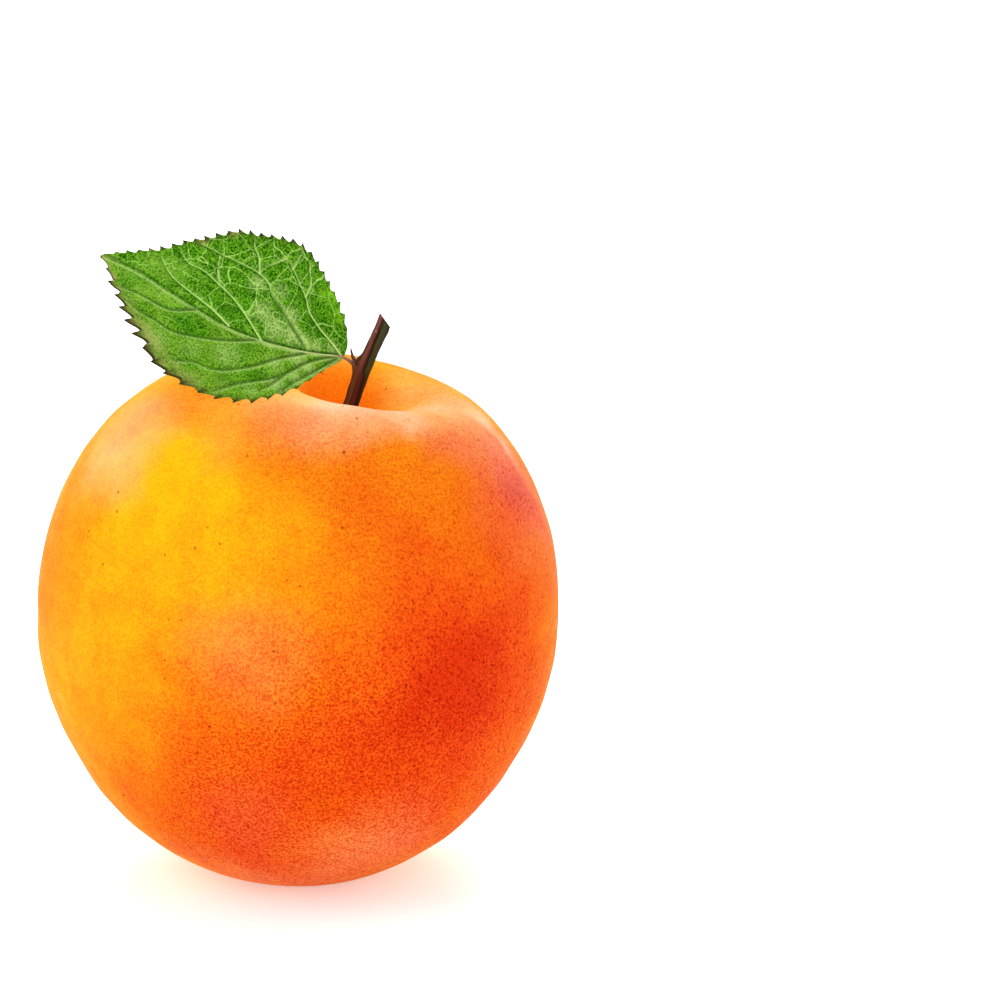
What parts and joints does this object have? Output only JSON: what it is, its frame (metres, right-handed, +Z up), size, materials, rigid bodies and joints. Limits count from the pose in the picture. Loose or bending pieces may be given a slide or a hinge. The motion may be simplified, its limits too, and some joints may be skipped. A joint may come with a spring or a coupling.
{
  "type": "apricot",
  "caption": "Whole ripe apricot standing on its base, with a short piece of cut twig in the stem cavity and a toothed leaf on its stalk.",
  "frame": {"origin": "centre of the flat spot that the fruit rests on", "axes": "+Z up through the fruit toward the stem cavity, +X toward the suture side, +Y toward the back, so the leaf reaches out toward -X and the front view looks along +Y"},
  "size_m": [0.0523, 0.0488, 0.0668],
  "materials": {
    "skin": "matte, finely downy, yellow to orange with a red cheek and small dark specks",
    "bark": "satin reddish brown young bark, greener on the shaded side",
    "blade": "satin green with paler veins, lighter and duller underneath",
    "dry_tip": "matte dark brown"
  },
  "bodies": {
    "root": {"fruit": "skin", "twig": "bark", "leaf": "blade", "stipule": "dry_tip"}
  },
  "joints": []
}
